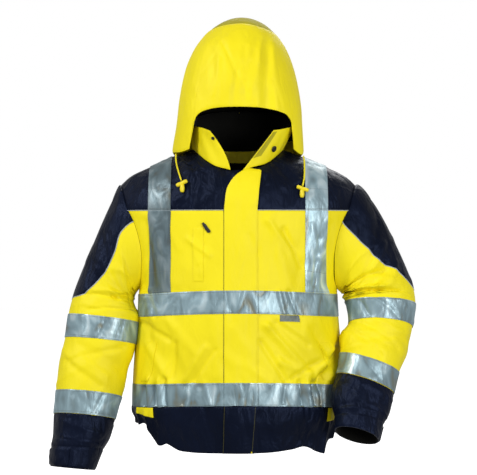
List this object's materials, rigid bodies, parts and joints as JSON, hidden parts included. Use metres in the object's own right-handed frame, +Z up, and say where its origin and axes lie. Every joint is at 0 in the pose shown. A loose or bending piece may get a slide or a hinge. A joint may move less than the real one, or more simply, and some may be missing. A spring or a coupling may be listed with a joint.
{
  "type": "hi-vis work jacket",
  "caption": "Padded high-visibility work jacket with hood, stand collar, storm flap, reflective tapes, dark yoke and elastic hem, in its worn hollow form.",
  "frame": {"origin": "centre of the neck opening, at the height where the shoulders start", "axes": "+Z up along the wearer's neck, -Y out of the front of the jacket, +X towards the wearer's left"},
  "size_m": [0.8155, 0.3192, 1.0142],
  "materials": {
    "yellow_cloth": "matte",
    "navy_cloth": "matte",
    "reflective_tape": "satin",
    "black_lining": "matte",
    "shaded_cloth": "matte",
    "yellow_cord": "matte",
    "yellow_plastic": "satin",
    "black_plastic": "satin"
  },
  "bodies": {
    "jacket": {"front_right": "yellow_cloth", "front_left": "yellow_cloth", "back": "yellow_cloth", "storm_flap": "yellow_cloth", "sleeve_right": "yellow_cloth", "sleeve_left": "yellow_cloth", "collar": "yellow_cloth", "hood": "yellow_cloth", "hood_back": "yellow_cloth", "drawcord_right": "yellow_cord", "cord_lock_right": "yellow_plastic", "drawcord_left": "yellow_cord", "cord_lock_left": "yellow_plastic", "chest_pocket_welt": "yellow_cloth", "pocket_welt_right": "yellow_cloth", "pocket_end_right": "yellow_cloth", "pocket_welt_left": "yellow_cloth", "pocket_end_left": "yellow_cloth", "hem_front_left": "navy_cloth", "hem_front_right": "navy_cloth", "hem_back": "navy_cloth", "front_yoke_right": "navy_cloth", "front_yoke_left": "navy_cloth", "back_yoke": "navy_cloth", "storm_flap_hem": "navy_cloth", "sleeve_panel_right": "navy_cloth", "lower_sleeve_right": "navy_cloth", "cuff_right": "navy_cloth", "cuff_tab_right": "navy_cloth", "sleeve_panel_left": "navy_cloth", "lower_sleeve_left": "navy_cloth", "cuff_left": "navy_cloth", "cuff_tab_left": "navy_cloth", "chest_tape_right": "reflective_tape", "chest_tape_left": "reflective_tape", "chest_tape_back": "reflective_tape", "chest_tape_flap": "reflective_tape", "hem_tape_right": "reflective_tape", "hem_tape_left": "reflective_tape", "hem_tape_back": "reflective_tape", "hem_tape_flap": "reflective_tape", "brace_front_right": "reflective_tape", "brace_back_right": "reflective_tape", "brace_shoulder_right": "reflective_tape", "brace_front_left": "reflective_tape", "brace_back_left": "reflective_tape", "brace_shoulder_left": "reflective_tape", "sleeve_tape_upper_right": "reflective_tape", "sleeve_tape_lower_right": "reflective_tape", "sleeve_tape_upper_left": "reflective_tape", "sleeve_tape_lower_left": "reflective_tape", "id_tab": "reflective_tape", "collar_lining": "black_lining", "hood_lining": "black_lining", "neck_tape": "shaded_cloth", "hood_crown": "shaded_cloth", "stud_right": "black_plastic", "stud_left": "black_plastic", "zip_slider": "black_plastic"},
    "pull": {"zip_pull": "black_plastic"}
  },
  "joints": [
    {"name": "zip_pull_hinge", "type": "hinge", "parent": "jacket", "child": "pull", "pos_m": [-0.075, -0.13941, -0.168], "axis": [-0.8089, 0, -0.5879], "range_deg": [0, 100]}
  ]
}
